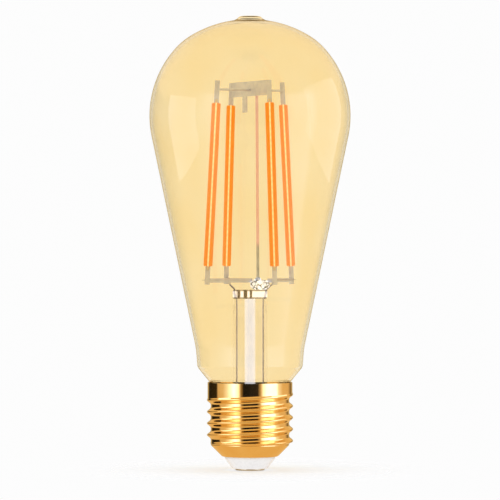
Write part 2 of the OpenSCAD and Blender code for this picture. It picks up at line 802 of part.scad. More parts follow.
module inductor_core() {
    color("#4a4a4d") translate([drum_pos[0], drum_pos[1], board_top_z + weld_gap]) difference() {
        cylinder(h = drum_h, d = drum_d);
        translate([0, 0, drum_flange]) difference() {
            cylinder(h = drum_h - 2 * drum_flange, d = drum_d + 1);
            translate([0, 0, -1]) cylinder(h = drum_h, d = drum_d - 2 * drum_waist - 1);
        }
    }
}

module inductor_winding() {
    h = drum_h - 2 * drum_flange - 2 * weld_gap;
    color("#b5622c") translate([drum_pos[0], drum_pos[1],
        board_top_z + drum_flange + 2 * weld_gap]) difference() {
        cylinder(h = h, d = drum_d - 0.4);
        translate([0, 0, -1]) cylinder(h = h + 2, d = drum_d - 2 * drum_waist - 1 + 2 * weld_gap);
    }
}

// ---- radio ----

radio_foot_z = board_top_z + 0.3;
radio_back_y = radio_y - radio_t;

// The radio board stands inside the mouth of the stem's bell, and its corners clear the bell
module radio_board() {
    bell_gap = 0.06;
    color("#26384f") difference() {
        block(0, radio_y - radio_t / 2, radio_foot_z, radio_w, radio_t, radio_h);
        rotate_extrude() polygon(concat(
            arc([stem_r + bell_r, bell_z], bell_r + stem_wall + bell_gap, 180, 270, 8),
            [[stem_r + bell_r, bell_z]]));
    }
}

module radio_shield() {
    w = 7.6;
    h = 4.6;
    t = 1.5;
    wall = 0.15;
    z = radio_foot_z + 2.1;
    y = radio_back_y - smd_lift - t / 2;
    color("#c3c5c6") difference() {
        block(0, y, z, w, t, h);
        block(0, y + wall, z + wall, w - 2 * wall, t, h - 2 * wall);
    }
}

module radio_chip() {
    color("#222226") block(0, radio_back_y - smd_lift - 0.4, radio_foot_z + 2.9, 3, 0.8, 3);
}

// Meandering printed track at the top of the radio board
module radio_antenna() {
    track = 0.4;
    t = 0.1;
    y = radio_back_y - t / 2 - 0.01;
    z = radio_foot_z + radio_h - 3.1;
    h = 2.6;
    n = 7;
    step = 1.2;
    color("#d9a24a") for (i = [0:n - 1]) {
        block((i - (n - 1) / 2) * step, y, z, track, t, h);
        if (i < n - 1) block((i - (n - 2) / 2) * step, y, i % 2 == 0 ? z : z + h - track,
            step, t, track);
    }
}

// Row of bent pins that solder the radio board to the driver board
module radio_pins() {
    color("#c9b27a") for (i = [-2:2]) {
        block(i * 1.8, radio_y + 0.25 + 0.02, board_top_z + weld_gap, 0.5, 0.5, 1.8);
        block(i * 1.8, radio_y + 0.6 + 0.02, board_top_z + weld_gap, 0.5, 1, 0.25);
    }
}

// ---- assembly ----

glass_envelope();
stem_flare();
stem_press();
exhaust_tube();
stem_bead();
support_wire();
top_plate();
top_crossbar();
lower_arms_left();
lower_arms_right();
lead_in_wire_left();
lead_in_wire_right();
filament_strip(1);  // filament_1_strip
filament_chips(1);  // filament_1_chips
filament_phosphor(1);  // filament_1_phosphor
filament_terminals(1);  // filament_1_terminals
filament_strip(2);  // filament_2_strip
filament_chips(2);  // filament_2_chips
filament_phosphor(2);  // filament_2_phosphor
filament_terminals(2);  // filament_2_terminals
filament_strip(3);  // filament_3_strip
filament_chips(3);  // filament_3_chips
filament_phosphor(3);  // filament_3_phosphor
filament_terminals(3);  // filament_3_terminals
filament_strip(4);  // filament_4_strip
filament_chips(4);  // filament_4_chips
filament_phosphor(4);  // filament_4_phosphor
filament_terminals(4);  // filament_4_terminals
cap_shell();
cap_insulator();
centre_contact();
cap_cement();
live_wire();
neutral_wire();
driver_sleeve();
driver_board();
bridge_rectifier();
driver_chip();
chip_resistors();
ceramic_capacitors();
fusible_resistor();
electrolytic_capacitor();
capacitor_jacket();
inductor_core();
inductor_winding();
radio_board();
radio_shield();
radio_chip();
radio_antenna();
radio_pins();
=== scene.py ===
import math

import bmesh
import bpy
from mathutils import Matrix, Vector


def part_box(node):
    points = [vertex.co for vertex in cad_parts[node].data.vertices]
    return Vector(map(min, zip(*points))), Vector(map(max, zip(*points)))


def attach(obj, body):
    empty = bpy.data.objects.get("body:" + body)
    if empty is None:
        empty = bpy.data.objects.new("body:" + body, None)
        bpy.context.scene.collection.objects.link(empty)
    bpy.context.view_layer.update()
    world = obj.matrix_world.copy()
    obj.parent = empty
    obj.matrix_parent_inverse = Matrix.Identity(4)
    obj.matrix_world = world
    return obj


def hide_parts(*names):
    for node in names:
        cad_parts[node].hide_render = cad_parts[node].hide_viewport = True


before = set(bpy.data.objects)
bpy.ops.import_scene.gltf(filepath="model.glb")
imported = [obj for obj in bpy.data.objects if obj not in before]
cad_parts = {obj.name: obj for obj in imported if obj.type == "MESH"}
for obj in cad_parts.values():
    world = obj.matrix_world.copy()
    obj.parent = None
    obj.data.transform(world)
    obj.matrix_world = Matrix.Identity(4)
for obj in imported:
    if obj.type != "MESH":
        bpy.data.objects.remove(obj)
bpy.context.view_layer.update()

# Amber filament lamp with a gilt screw cap, standing cap-down on a pale floor.
# Every size below is in millimetres, and MM turns it into Blender's metres.
MM = 0.001

# ---------------------------------------------------------------- sizes from the frame


def node_box(node):
    """Lowest and highest corner of a CAD node, in millimetres."""
    low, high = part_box(node)
    return low / MM, high / MM


GLASS_LOW, GLASS_HIGH = node_box("glass_envelope")
CAP_LOW, CAP_HIGH = node_box("cap_shell")
PRESS_LOW, PRESS_HIGH = node_box("stem_press")
STEM_LOW, STEM_HIGH = node_box("stem_flare")
TUBE_LOW, TUBE_HIGH = node_box("exhaust_tube")
INSULATOR_LOW, INSULATOR_HIGH = node_box("cap_insulator")
CONTACT_LOW, CONTACT_HIGH = node_box("centre_contact")

# Blown glass: three arcs down to a long cone, then a heel that turns in to the neck
GLOBE_R = GLASS_HIGH.x
TOP_Z = GLASS_HIGH.z
GLASS_WALL = 0.9
SHOULDER_R, SHOULDER_ANGLE = 22, 48
CROWN_R = 36
TIP_R, TIP_H = 3, 1.05
RIM_Z = CAP_HIGH.z
CAP_R = 13.3
HEEL_R, HEEL_Z, HEEL_ROUND = CAP_R + 3.2, RIM_Z + 4.4, 2.6
FOOT_R, FOOT_Z = HEEL_R + 0.4, RIM_Z + 10
NECK_TOP_R = CAP_R - 0.9
NECK_R, NECK_FOOT_Z = 11.5, GLASS_LOW.z

# Screw cap: sheet metal with a rolled right-hand thread
SHEET = 0.3
THREAD_PITCH = 3.629
THREAD_ROOT_R, THREAD_CREST_R = CAP_R - 1, CAP_R + 0.2
THREAD_LINE_Z = 20.1
THREAD_FOOT_Z, THREAD_TOP_Z = 8.2, 24.9
LIP_R, LIP_Z = 8.1, CAP_LOW.z

# Stem
STEM_R, STEM_WALL = 5.4, 0.8
PINCH_Z, PRESS_FOOT_Z, PRESS_TOP_Z = 46.8, PRESS_LOW.z, PRESS_HIGH.z
PRESS_HALF_W, PRESS_HALF_T = PRESS_HIGH.x, PRESS_HIGH.y

# ---------------------------------------------------------------- small helpers


def colour(code):
    """Linear colour of an sRGB hex value."""
    parts = [int(code[i:i + 2], 16) / 255 for i in (1, 3, 5)]
    return tuple(c / 12.92 if c <= 0.04045 else ((c + 0.055) / 1.055) ** 2.4 for c in parts) + (1,)


def add(tree, kind, sockets=(), **settings):
    """Adds one node: settings are its own properties, and sockets its inputs, as values or links."""
    node = tree.nodes.new(kind)
    for name, value in settings.items():
        setattr(node, name, value)
    for name, value in dict(sockets).items():
        if isinstance(value, bpy.types.NodeSocket):
            tree.links.new(value, node.inputs[name])
        else:
            node.inputs[name].default_value = value
    return node


def per(size):
    """Scale of a pattern whose features are size millimetres wide."""
    return 1 / (size * MM)


def begin(name):
    """New material with one Principled shader, and its Object coordinates."""
    material = bpy.data.materials.new(name)
    material.use_nodes = True
    tree = material.node_tree
    tree.nodes.clear()
    shader = add(tree, "ShaderNodeBsdfPrincipled")
    add(tree, "ShaderNodeOutputMaterial", {"Surface": shader.outputs["BSDF"]})
    place = add(tree, "ShaderNodeTexCoord").outputs["Object"]
    return material, tree, shader, place


def mottled(tree, place, size, first, second, detail=3, low=0.35, high=0.65):
    """Colour that drifts between two hex colours over a number of millimetres."""
    noise = add(tree, "ShaderNodeTexNoise", {"Vector": place, "Scale": per(size), "Detail": detail})
    share = add(tree, "ShaderNodeMapRange", {"Value": noise.outputs["Fac"], "From Min": low,
                                             "From Max": high})
    return add(tree, "ShaderNodeMix", {0: share.outputs["Result"], 6: colour(first),
                                       7: colour(second)}, data_type="RGBA").outputs[2]


def uneven(tree, place, size, low, high, detail=4):
    """Number that drifts between low and high over a number of millimetres."""
    noise = add(tree, "ShaderNodeTexNoise", {"Vector": place, "Scale": per(size), "Detail": detail})
    return add(tree, "ShaderNodeMapRange", {"Value": noise.outputs["Fac"], "From Min": 0.3,
                                            "From Max": 0.7, "To Min": low,
                                            "To Max": high}).outputs["Result"]


def relief(tree, height, depth, strength=1.0, under=None):
    """Normal of a surface whose height map is depth millimetres from low to high."""
    sockets = {"Height": height, "Distance": depth * MM, "Strength": strength}
    if under is not None:
        sockets["Normal"] = under
    return add(tree, "ShaderNodeBump", sockets).outputs["Normal"]


def fill(shader, tree, values):
    """Sets or links several inputs of a shader."""
    for name, value in values.items():
        if isinstance(value, bpy.types.NodeSocket):
            tree.links.new(value, shader.inputs[name])
        else:
            shader.inputs[name].default_value = value


# ---------------------------------------------------------------- materials: glass


def amber_glass():
    """Blown soda-lime glass with a thin amber lacquer: clear, glossy, a little uneven."""
    material, tree, shader, place = begin("amber_lacquered_glass")
    coat = mottled(tree, place, 24, "#fdf0d0", "#fdedc6", 2)
    waves = add(tree, "ShaderNodeTexNoise", {"Vector": place, "Scale": per(16), "Detail": 1})
    fill(shader, tree, {
        "Base Color": coat, "Transmission Weight": 1.0, "IOR": 1.42,
        "Roughness": uneven(tree, place, 6, 0.0, 0.02),
        "Normal": relief(tree, waves.outputs["Fac"], 0.02, 0.2)})
    return material


def stem_glass():
    """Drawn soft glass of the stem tube: clear, with faint drawing lines along it."""
    material, tree, shader, place = begin("drawn_stem_glass")
    along = add(tree, "ShaderNodeMapping", {"Vector": place, "Scale": (1, 1, 0.03)})
    lines = add(tree, "ShaderNodeTexNoise", {"Vector": along.outputs["Vector"], "Scale": per(0.7),
                                             "Detail": 2})
    fill(shader, tree, {
        "Base Color": mottled(tree, place, 8, "#ffffff", "#fdfcfc"), "Transmission Weight": 1.0,
        "IOR": 1.22, "Roughness": uneven(tree, place, 3, 0.0, 0.03),
        "Normal": relief(tree, lines.outputs["Fac"], 0.01, 0.3)})
    return material


def pressed_glass():
    """Stem glass squeezed hot between jaws: a block with a painted bluish white glow and painted
    shade along its top and bottom rims, and the wires sealed in it show as dark bars on one side."""
    material, tree, shader, place = begin("pressed_stem_glass")
    split = add(tree, "ShaderNodeSeparateXYZ", {"Vector": place})
    dark = None
    # Dark mask: painted shade along the rims at the foot and top, and bars where the sealed wires lie.
    for axis, middle, half in (("X", -3.4, 0.3), ("X", -1.4, 0.45), ("X", 0.3, 0.25),
                               ("Z", PRESS_FOOT_Z, 0.3), ("Z", PRESS_TOP_Z, 0.35)):
        away = add(tree, "ShaderNodeMath", {0: split.outputs[axis], 1: middle * MM},
                   operation="SUBTRACT")
        size = add(tree, "ShaderNodeMath", {0: away.outputs[0]}, operation="ABSOLUTE")
        band = add(tree, "ShaderNodeMapRange", {"Value": size.outputs[0], "From Min": half * MM,
                                                "From Max": (half + 0.25) * MM, "To Min": 1.0,
                                                "To Max": 0.0}).outputs["Result"]
        dark = band if dark is None else add(tree, "ShaderNodeMath", {0: dark, 1: band},
                                             operation="MAXIMUM").outputs[0]
    clear = mottled(tree, place, 1.6, "#fbf8f2", "#efe8dc")
    # Dark colour for the painted rim shade and the wire bars.
    rim_shade_and_wire_tone = mottled(tree, place, 0.9, "#6a5d4c", "#8d7f6b")
    skin = add(tree, "ShaderNodeMix", {0: dark, 6: clear, 7: rim_shade_and_wire_tone}, data_type="RGBA")
    # Painted light: the glass glows bluish white except on the dark bands, though it is no lamp.
    glow = add(tree, "ShaderNodeMix", {0: dark, 6: colour("#c4d0f6"), 7: (0, 0, 0, 1)},
               data_type="RGBA")
    seeds = add(tree, "ShaderNodeTexVoronoi", {"Vector": place, "Scale": per(1.1)})
    fill(shader, tree, {
        "Base Color": skin.outputs[2], "Transmission Weight": 1.0, "IOR": 1.3,
        "Roughness": uneven(tree, place, 1, 0.02, 0.08), "Emission Color": glow.outputs[2],
        "Emission Strength": 0.55, "Normal": relief(tree, seeds.outputs["Distance"], 0.05, 0.3)})
    return material


def opal_tube():
    """Exhaust tube of milky glass: half see-through, and made white by a painted bluish glow."""
    material, tree, shader, place = begin("milky_exhaust_glass")
    fill(shader, tree, {
        "Base Color": mottled(tree, place, 3, "#d2d0cd", "#cbc9c6"), "Transmission Weight": 1.0,
        "IOR": 1.3, "Roughness": uneven(tree, place, 1.5, 0.04, 0.1),
        # Painted light: the tube glows though it is no lamp.
        "Emission Color": mottled(tree, place, 4, "#adb8dc", "#a7b2d6"), "Emission Strength": 0.5,
        "Normal": relief(tree, uneven(tree, place, 2, 0, 1), 0.005, 0.2)})
    return material


# ---------------------------------------------------------------- materials: filaments


def phosphor():
    """Silicone filled with phosphor, lit from inside. It glows orange; a pale line over the chips,
    in its glow and its colour, is partly their brighter glow and partly a painted highlight. The
    place attribute holds millimetres across and along a filament."""
    material, tree, shader, place = begin("glowing_phosphor_silicone")
    own = add(tree, "ShaderNodeAttribute", attribute_name="place").outputs["Vector"]
    split = add(tree, "ShaderNodeSeparateXYZ", {"Vector": own})
    across = add(tree, "ShaderNodeMath", {0: split.outputs["Y"]}, operation="ABSOLUTE")
    # Pale line along the middle: partly the chip row's brighter glow, partly a painted highlight.
    line = add(tree, "ShaderNodeMapRange", {"Value": across.outputs[0], "From Min": 0.16,
                                            "From Max": 0.3, "To Min": 1.0, "To Max": 0.0},
               interpolation_type="SMOOTHSTEP")
    chip = add(tree, "ShaderNodeMath", {0: split.outputs["Z"], 1: 2 * math.pi / CHIP_PITCH},
               operation="MULTIPLY")
    beat = add(tree, "ShaderNodeMath", {0: chip.outputs[0]}, operation="COSINE")
    pale = add(tree, "ShaderNodeMapRange", {"Value": beat.outputs[0], "From Min": -1.0,
                                            "To Min": 0.82, "To Max": 1.0})
    core = add(tree, "ShaderNodeMath", {0: line.outputs["Result"], 1: pale.outputs["Result"]},
               operation="MULTIPLY")
    coat = mottled(tree, place, 2.2, "#ff9400", "#ff9c04")
    glow = add(tree, "ShaderNodeMix", {0: core.outputs[0], 6: coat, 7: colour("#ffe0ae")},
               data_type="RGBA")
    # Base colour made pale along the same line: a painted highlight.
    skin = add(tree, "ShaderNodeMix", {0: core.outputs[0], 6: colour("#8c4206"),
                                       7: colour("#f6d3a0")}, data_type="RGBA")
    grit = add(tree, "ShaderNodeTexNoise", {"Vector": place, "Scale": per(0.12), "Detail": 2})
    fill(shader, tree, {
        "Base Color": skin.outputs[2], "Roughness": uneven(tree, place, 1, 0.35, 0.5),
        "Specular IOR Level": 0.15,
        "Emission Color": glow.outputs[2], "Emission Strength": 0.8,
        "Normal": relief(tree, grit.outputs["Fac"], 0.02, 0.4)})
    return material


def alumina():
    """Sintered alumina strip: white, dense and matt, with a fine grain."""
    material, tree, shader, place = begin("sintered_alumina")
    fill(shader, tree, {
        "Base Color": mottled(tree, place, 0.6, "#f1ece1", "#e4ddce"),
        "Roughness": uneven(tree, place, 0.4, 0.45, 0.6), "IOR": 1.76,
        "Normal": relief(tree, uneven(tree, place, 0.15, 0, 1), 0.01, 0.4)})
    return material


def lit_chip():
    """Gallium nitride chips at work: pale warm light from a glassy face."""
    material, tree, shader, place = begin("lit_led_chip")
    fill(shader, tree, {
        "Base Color": mottled(tree, place, 0.5, "#fff0cf", "#ffe2b0"), "Roughness": 0.2,
        "Emission Color": mottled(tree, place, 0.5, "#ffe9c0", "#ffd596"),
        "Emission Strength": 1.2,
        "Normal": relief(tree, uneven(tree, place, 0.3, 0, 1), 0.01, 0.3)})
    return material


# ---------------------------------------------------------------- materials: metals


def brushed_metal(name, light, dark, low, high, grain=0.25, along=(1, 1, 0.06)):
    """Strip or wire drawn through rolls: fine lines run one way, dull where it has oxidised."""
    material, tree, shader, place = begin(name)
    stretch = add(tree, "ShaderNodeMapping", {"Vector": place, "Scale": along})
    lines = add(tree, "ShaderNodeTexNoise", {"Vector": stretch.outputs["Vector"],
                                             "Scale": per(grain), "Detail": 3})
    fill(shader, tree, {
        "Base Color": mottled(tree, place, 1.8, light, dark), "Metallic": 1.0,
        "Roughness": uneven(tree, place, 1.2, low, high),
        "Normal": relief(tree, lines.outputs["Fac"], 0.01, 0.5)})
    return material


def flashed_support_wire():
    """Nickel-iron wire with a copper flash that stops short of its foot."""
    material, tree, shader, place = begin("copper_flashed_wire")
    height = add(tree, "ShaderNodeSeparateXYZ", {"Vector": place}).outputs["Z"]
    flashed = add(tree, "ShaderNodeMapRange", {"Value": height, "From Min": FLASH_Z * MM,
                                               "From Max": (FLASH_Z + 3) * MM},
                  interpolation_type="SMOOTHSTEP").outputs["Result"]
    metal = add(tree, "ShaderNodeMix", {0: flashed, 6: mottled(tree, place, 1.5, "#cdd2d6", "#b9bec4"),
                                        7: mottled(tree, place, 1.5, "#fbdcec", "#f6d2e4")},
                data_type="RGBA").outputs[2]
    fill(shader, tree, {
        "Base Color": metal, "Metallic": 1.0, "Roughness": uneven(tree, place, 0.8, 0.3, 0.45),
        "Normal": relief(tree, uneven(tree, place, 0.2, 0, 1), 0.005, 0.4)})
    return material


def gilt_brass():
    """Thin brass rolled into a thread, then bright gold plated: mirror gloss, with faint rolling
    marks round it and fine scuffs on the crests where a lamp holder has rubbed."""
    material, tree, shader, place = begin("gold_plated_brass")
    rolled = add(tree, "ShaderNodeMapping", {"Vector": place, "Scale": (0.05, 0.05, 1)})
    marks = add(tree, "ShaderNodeTexNoise", {"Vector": rolled.outputs["Vector"], "Scale": per(0.5),
                                             "Detail": 3})
    dents = add(tree, "ShaderNodeTexNoise", {"Vector": place, "Scale": per(5), "Detail": 1})
    scuffs = add(tree, "ShaderNodeTexNoise", {"Vector": place, "Scale": per(0.6), "Detail": 4})
    rubbed = add(tree, "ShaderNodeMapRange", {"Value": scuffs.outputs["Fac"], "From Min": 0.55,
                                              "From Max": 0.75, "To Min": 0.05, "To Max": 0.16})
    under = relief(tree, dents.outputs["Fac"], 0.01, 0.2)
    fill(shader, tree, {
        "Base Color": mottled(tree, place, 6, "#f9dfa9", "#f6d698"), "Metallic": 1.0,
        "Roughness": rubbed.outputs["Result"],
        "Normal": relief(tree, marks.outputs["Fac"], 0.001, 0.2, under)})
    return material


# ---------------------------------------------------------------- materials: cap and driver


def moulded_insulator():
    """Moulded white glass-filled polymer: even satin gloss with a faint flow pattern."""
    material, tree, shader, place = begin("moulded_white_polymer")
    flow = add(tree, "ShaderNodeMapping", {"Vector": place, "Scale": (1, 1, 0.3)})
    fill(shader, tree, {
        "Base Color": mottled(tree, flow.outputs["Vector"], 6, "#f2f1f1", "#eeedee"),
        "Roughness": uneven(tree, place, 1, 0.22, 0.34), "IOR": 1.5,
        "Normal": relief(tree, uneven(tree, place, 1.5, 0, 1), 0.002, 0.15)})
    return material


def dull_solid(name, first, second, size, rough, depth=0.01, grain=0.3, ior=1.5):
    """Matt or satin solid: colour drifts over size, and a fine grain breaks its gloss."""
    material, tree, shader, place = begin(name)
    fill(shader, tree, {
        "Base Color": mottled(tree, place, size, first, second),
        "Roughness": uneven(tree, place, size / 2, *rough), "IOR": ior,
        "Normal": relief(tree, uneven(tree, place, grain, 0, 1), depth, 0.5)})
    return material


def solder_mask(name, first, second, weave):
    """Glass-epoxy board under solder mask: copper tracks and the glass weave show through."""
    material, tree, shader, place = begin(name)
    tracks = add(tree, "ShaderNodeTexBrick", {
        "Vector": place, "Scale": per(3), "Mortar Size": 0.09, "Mortar Smooth": 0.1,
        "Color1": (0, 0, 0, 1), "Color2": (0, 0, 0, 1), "Mortar": (1, 1, 1, 1)})
    share = add(tree, "ShaderNodeMath", {0: tracks.outputs["Fac"], 1: 0.75}, operation="MULTIPLY")
    base = add(tree, "ShaderNodeMix", {0: share.outputs[0],
                                       6: mottled(tree, place, 2.5, first, second),
                                       7: colour(weave)}, data_type="RGBA").outputs[2]
    threads = add(tree, "ShaderNodeTexChecker", {"Vector": place, "Scale": per(0.25)})
    under = relief(tree, threads.outputs["Fac"], 0.006, 0.3)
    fill(shader, tree, {
        "Base Color": base, "Roughness": uneven(tree, place, 1.5, 0.25, 0.4), "IOR": 1.55,
        "Normal": relief(tree, tracks.outputs["Fac"], 0.035, 0.6, under)})
    return material


def wire_insulation(name, first, second):
    """Silicone rubber pulled over a wire: soft sheen, dusty, with faint extrusion lines."""
    material, tree, shader, place = begin(name)
    along = add(tree, "ShaderNodeMapping", {"Vector": place, "Scale": (1, 1, 0.05)})
    fill(shader, tree, {
        "Base Color": mottled(tree, place, 1.5, first, second), "Sheen Weight": 0.15,
        "Roughness": uneven(tree, place, 0.8, 0.45, 0.6),
        "Normal": relief(tree, uneven(tree, along.outputs["Vector"], 0.12, 0, 1), 0.01, 0.4)})
    return material


def banded(name, body, metal, axis, ends):
    """Lacquered body with bare tinned leads past its ends along one axis."""
    material, tree, shader, place = begin(name)
    value = add(tree, "ShaderNodeSeparateXYZ", {"Vector": place}).outputs[axis]
    inside = add(tree, "ShaderNodeMath", {0: value, 1: (ends[0] + ends[1]) / 2 * MM,
                                          2: (ends[1] - ends[0]) / 2 * MM}, operation="COMPARE")
    bare = add(tree, "ShaderNodeMath", {0: 1.0, 1: inside.outputs[0]}, operation="SUBTRACT")
    skin = add(tree, "ShaderNodeMix", {0: inside.outputs[0], 6: mottled(tree, place, 0.6, *metal),
                                       7: mottled(tree, place, 1, *body)}, data_type="RGBA")
    fill(shader, tree, {
        "Base Color": skin.outputs[2], "Metallic": bare.outputs[0],
        "Roughness": uneven(tree, place, 0.7, 0.25, 0.4),
        "Normal": relief(tree, uneven(tree, place, 0.25, 0, 1), 0.01, 0.4)})
    return material


# ---------------------------------------------------------------- shapes


def arc(centre, radius, start, end, steps):
    """Points along an arc of (radius, height), its angles in degrees from the horizontal."""
    turns = [math.radians(start + (end - start) * i / steps) for i in range(steps + 1)]
    return [(centre[0] + radius * math.cos(t), centre[1] + radius * math.sin(t)) for t in turns]


def rounded(before, corner, after, radius, steps=8):
    """Points that round a corner between two others."""
    corner = Vector(corner)
    to, on = (Vector(before) - corner).normalized(), (Vector(after) - corner).normalized()
    half = to.angle(on) / 2
    centre = corner + (to + on).normalized() * radius / math.sin(half)
    first = corner + to * radius / math.tan(half) - centre
    last = corner + on * radius / math.tan(half) - centre
    turn = math.atan2(first.x * last.y - first.y * last.x, first.dot(last))
    start = math.atan2(first.y, first.x)
    return arc(centre, radius, math.degrees(start), math.degrees(start + turn), steps)


def inset(points, distance):
    """The same outline moved sideways by a distance, to the right of its direction."""
    moved = []
    for i, point in enumerate(points):
        a, b = points[max(i - 1, 0)], points[min(i + 1, len(points) - 1)]
        along = (Vector(b) - Vector(a)).normalized()
        moved.append((point[0] + along.y * distance, point[1] - along.x * distance))
    return moved


def row(start, end, steps):
    """Evenly spaced points between two, without the first."""
    return [tuple(Vector(start).lerp(Vector(end), (i + 1) / steps)) for i in range(steps)]


def lathe(outline, steps=128, closed=False):
    """Bmesh spun round the lamp's axis from an outline of (radius, height)."""
    bm = bmesh.new()
    points = [bm.verts.new((r * MM, 0, z * MM)) for r, z in outline]
    edges = [bm.edges.new(pair) for pair in zip(points, points[1:])]
    if closed:
        edges.append(bm.edges.new((points[-1], points[0])))
    bmesh.ops.spin(bm, geom=points + edges, cent=(0, 0, 0), axis=(0, 0, 1), angle=math.tau,
                   steps=steps, use_merge=True)
    bmesh.ops.remove_doubles(bm, verts=bm.verts, dist=0.0005 * MM)
    bmesh.ops.recalc_face_normals(bm, faces=bm.faces)
    return bm


def settle(bm, name, material, nodes, sharp=35):
    """Turns a bmesh into a piece that rides on the lamp and stands for CAD nodes."""
    mesh = bpy.data.meshes.new(name)
    bm.to_mesh(mesh)
    bm.free()
    mesh.shade_smooth()
    mesh.set_sharp_from_angle(angle=math.radians(sharp))
    mesh.materials.append(material)
    piece = bpy.data.objects.new(name, mesh)
    bpy.context.scene.collection.objects.link(piece)
    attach(piece, "root")
    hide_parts(*nodes)
    return piece


def edged_copy(node, name, material, edge=0.06, sharp=40):
    """Copy of a CAD node whose sharp edges are broken, as stamping or moulding leaves them."""
    bm = bmesh.new()
    bm.from_mesh(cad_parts[node].data)
    bmesh.ops.remove_doubles(bm, verts=bm.verts, dist=0.001 * MM)
    bmesh.ops.dissolve_limit(bm, angle_limit=math.radians(1), verts=bm.verts, edges=bm.edges)
    corners = [e for e in bm.edges if e.is_manifold and e.calc_face_angle() > math.radians(sharp)]
    if edge:
        bmesh.ops.bevel(bm, geom=corners, offset=edge * MM, offset_type="OFFSET", segments=2,
                        profile=0.5, affect="EDGES", material=-1, clamp_overlap=True)
    return settle(bm, name, material, [node])


def glass_envelope():
    """Blown bulb: outer wall from the tip down to the neck, and the inner wall back up."""
    crown_top = TOP_Z - TIP_H
    off = (GLOBE_R - SHOULDER_R) * math.sin(math.radians(SHOULDER_ANGLE))
    rise = (GLOBE_R - SHOULDER_R) * math.cos(math.radians(SHOULDER_ANGLE))
    crown_off = rise - math.sqrt((CROWN_R - SHOULDER_R) ** 2 - off ** 2)
    crown_angle = math.degrees(math.asin(off / (CROWN_R - SHOULDER_R)))
    globe_z = crown_top - CROWN_R - crown_off
    crown_z = globe_z + crown_off
    reach = math.hypot(FOOT_R, globe_z - FOOT_Z)
    cone = math.degrees(math.atan2(globe_z - FOOT_Z, FOOT_R) - math.acos(GLOBE_R / reach))

    def crown_at(r):
        return crown_z + math.sqrt(CROWN_R ** 2 - r ** 2)

    join = TIP_R + 5
    tip_top, tip_edge = (1.7, TOP_Z - 0.02), (TIP_R + 0.2, TOP_Z - 0.1)
    tip_foot = (TIP_R + 1.6, crown_at(TIP_R + 1.6) + 0.05)
    tip = [(0, TOP_Z), tip_top]
    tip += rounded(tip_top, tip_edge, tip_foot, 1.2)
    tip += rounded(tip_edge, tip_foot, (join, crown_at(join)), 3.2)
    cone_end = (GLOBE_R * math.cos(math.radians(cone)), globe_z - GLOBE_R * math.sin(math.radians(cone)))
    foot, heel, tuck = (FOOT_R, FOOT_Z), (HEEL_R, HEEL_Z), (CAP_R - 0.25, RIM_Z + 0.15)
    neck_top, neck_low = (NECK_TOP_R, RIM_Z - 1), (NECK_R, RIM_Z - 5.3)
    body = arc((0, crown_z), CROWN_R, math.degrees(math.acos(join / CROWN_R)), 90 - crown_angle, 14)
    body += arc((off, globe_z + rise), SHOULDER_R, 90 - crown_angle, 90 - SHOULDER_ANGLE, 12)[1:]
    body += arc((0, globe_z), GLOBE_R, 90 - SHOULDER_ANGLE, 0, 28)[1:]
    body += arc((0, globe_z), GLOBE_R, 0, -cone, 8)[1:]
    bend = rounded(cone_end, foot, heel, 30, 8)
    body += row(cone_end, bend[0], 30) + bend[1:]
    body += rounded(foot, heel, tuck, HEEL_ROUND, 12)
    body += rounded(heel, tuck, neck_top, 0.5, 5)
    body += rounded(tuck, neck_top, neck_low, 1.5, 5)
    body += rounded(neck_top, neck_low, (NECK_R, NECK_FOOT_Z), 1.5, 5)
    body.append((NECK_R, NECK_FOOT_Z))
    inner = inset(body, GLASS_WALL)
    inner = [p for p in inner if p[1] >= NECK_FOOT_Z]
    inner_top = arc((0, crown_z), CROWN_R - GLASS_WALL, 90,
                    math.degrees(math.acos(join / CROWN_R)), 6)[:-1]
    outline = tip + body + inner[::-1] + inner_top[::-1]
    return settle(lathe(outline, 176), "blown_glass_envelope", amber_glass(),
                  ["glass_envelope"])


def thread_radius(turn, z):
    """Outside radius of the rolled shell at an angle in degrees from the back and a height.
    The first groove starts at the back, out of the plain skirt, and deepens as it runs round."""
    phase = (z - THREAD_LINE_Z) / THREAD_PITCH - (turn - 270) / 360 - 1
    crest = (0.5 + 0.5 * math.cos(math.tau * phase)) ** 1.9
    start = min(max((360 - turn) / 70, 0), 1)
    start = start * start * (3 - 2 * start)
    depth = start if phase > -1 else 1
    foot = min(max((z - THREAD_FOOT_Z) / 0.6, 0), 1)
    grooved = THREAD_ROOT_R + (THREAD_CREST_R - THREAD_ROOT_R) * crest * foot
    skirt = min(max(phase * THREAD_PITCH / 0.7, 0), 1)
    top = THREAD_CREST_R + (CAP_R - THREAD_CREST_R) * skirt * skirt * (3 - 2 * skirt)
    if phase >= 0:
        return top
    return grooved * depth + THREAD_CREST_R * (1 - depth)


def cap_shell():
    """Rolled screw shell: skirt, thread and taper in one sheet, open at both ends."""
    knee, mid = (THREAD_ROOT_R, THREAD_FOOT_Z - 0.35), (LIP_R + 0.65, LIP_Z + 0.05)
    outline = row((CAP_R, RIM_Z - 0.02), (CAP_R, THREAD_TOP_Z), 8)
    outline += row((THREAD_CREST_R, THREAD_TOP_Z), (THREAD_CREST_R, THREAD_FOOT_Z), 132)
    outline += rounded((THREAD_ROOT_R, THREAD_FOOT_Z + 2), knee, mid, 0.8, 5)
    outline += rounded(knee, mid, (LIP_R - 0.2, LIP_Z), 1, 6)
    outline.append((LIP_R - 0.2, LIP_Z))
    bm = lathe(outline, 216)
    for v in bm.verts:
        z = v.co.z / MM
        if THREAD_FOOT_Z - 0.01 < z < THREAD_TOP_Z + 0.01:
            turn = (math.degrees(math.atan2(v.co.y, v.co.x)) - 90) % 360
            radius = thread_radius(turn, z) * MM
            v.co.xy = v.co.xy.normalized() * radius
    bmesh.ops.solidify(bm, geom=bm.faces, thickness=SHEET * MM)
    return settle(bm, "gilt_screw_shell", gilt_brass(), ["cap_shell"], 60)


